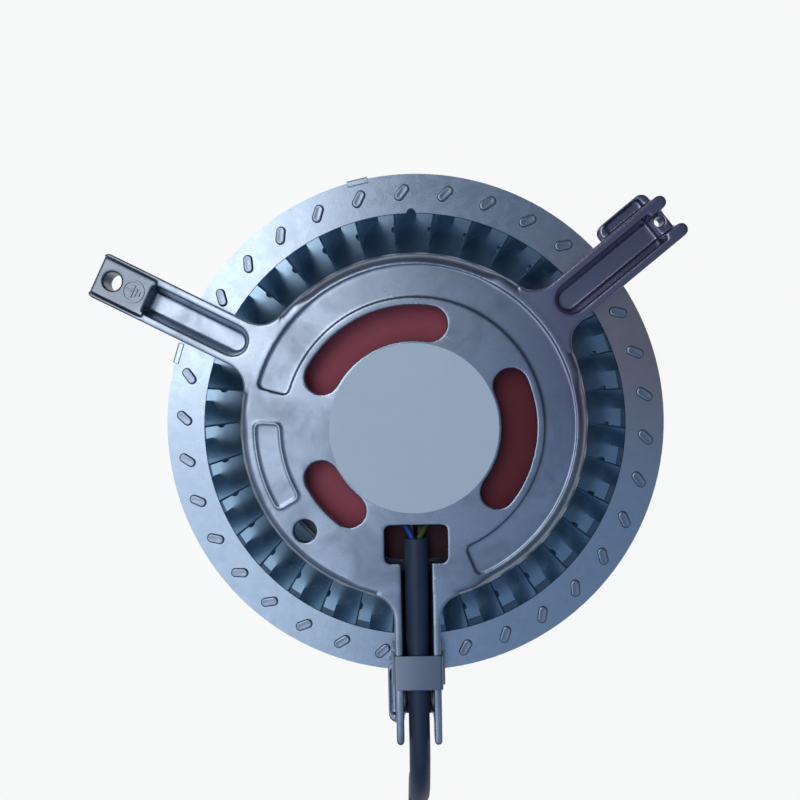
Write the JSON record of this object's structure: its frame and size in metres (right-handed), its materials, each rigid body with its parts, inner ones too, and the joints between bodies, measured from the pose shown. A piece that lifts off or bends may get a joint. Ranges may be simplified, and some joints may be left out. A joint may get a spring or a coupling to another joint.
{
  "type": "plug fan",
  "caption": "Single-inlet centrifugal plug fan: sheet-metal wheel with curved blades on an external-rotor motor, hung from a cast spider whose arms are screwed down; supply cable.",
  "frame": {"origin": "centre of the rotor can's back boss, on the wheel's axis, at the plane the part lies on", "axes": "+Z along the wheel's axis towards the inlet and the spider; -Y towards the cable arm's end"},
  "size_m": [0.2056, 0.3602, 0.0726],
  "materials": {
    "cast_aluminium": "satin die-cast, stained",
    "label_film": "matt film, bare",
    "core_steel": "laminated sheet",
    "copper": "enamelled wire",
    "insulation": "moulded, matt",
    "black_plastic": "matt",
    "bearing_steel": "ground",
    "spring_steel": "blued",
    "shaft_steel": "ground",
    "can_steel": "drawn and zinc-plated",
    "cage_aluminium": "cast",
    "galvanised_sheet": "galvanised, semi-gloss",
    "rivet_aluminium": "satin",
    "clip_steel": "nickel-plated, satin",
    "blue_pvc": "semi-gloss",
    "brown_pvc": "semi-gloss",
    "earth_pvc": "green and yellow, semi-gloss",
    "sheath": "matt",
    "tinned_copper": "tinned"
  },
  "bodies": {
    "frame": {"spider": "cast_aluminium", "label": "label_film", "stator_core": "core_steel", "windings": "copper", "upper_insulation": "insulation", "lower_insulation": "insulation", "thermal_protector": "black_plastic", "upper_bearing": "bearing_steel", "lower_bearing": "bearing_steel", "bearing_spacer": "spring_steel", "bearing_retainer": "spring_steel", "cable_clip": "clip_steel", "blue_lead": "blue_pvc", "brown_lead": "brown_pvc", "black_lead": "black_plastic", "earth_lead": "earth_pvc", "cable": "sheath", "cable_coil": "sheath", "coil_tie": "black_plastic", "blue_tail": "blue_pvc", "brown_tail": "brown_pvc", "black_tail": "black_plastic", "earth_tail": "earth_pvc", "ferrules": "tinned_copper"},
    "wheel": {"shaft": "shaft_steel", "shaft_circlip": "spring_steel", "wave_washer": "spring_steel", "rotor_can": "can_steel", "rotor_core": "core_steel", "rotor_cage": "cage_aluminium", "back_disc": "galvanised_sheet", "disc_rivets": "rivet_aluminium", "blades": "galvanised_sheet", "inlet_ring": "galvanised_sheet", "balance_clips": "clip_steel"}
  },
  "joints": [
    {"name": "wheel_spin", "type": "hinge", "parent": "frame", "child": "wheel", "pos_m": [0, 0, 0], "axis": [0, 0, 1], "continuous": true}
  ]
}
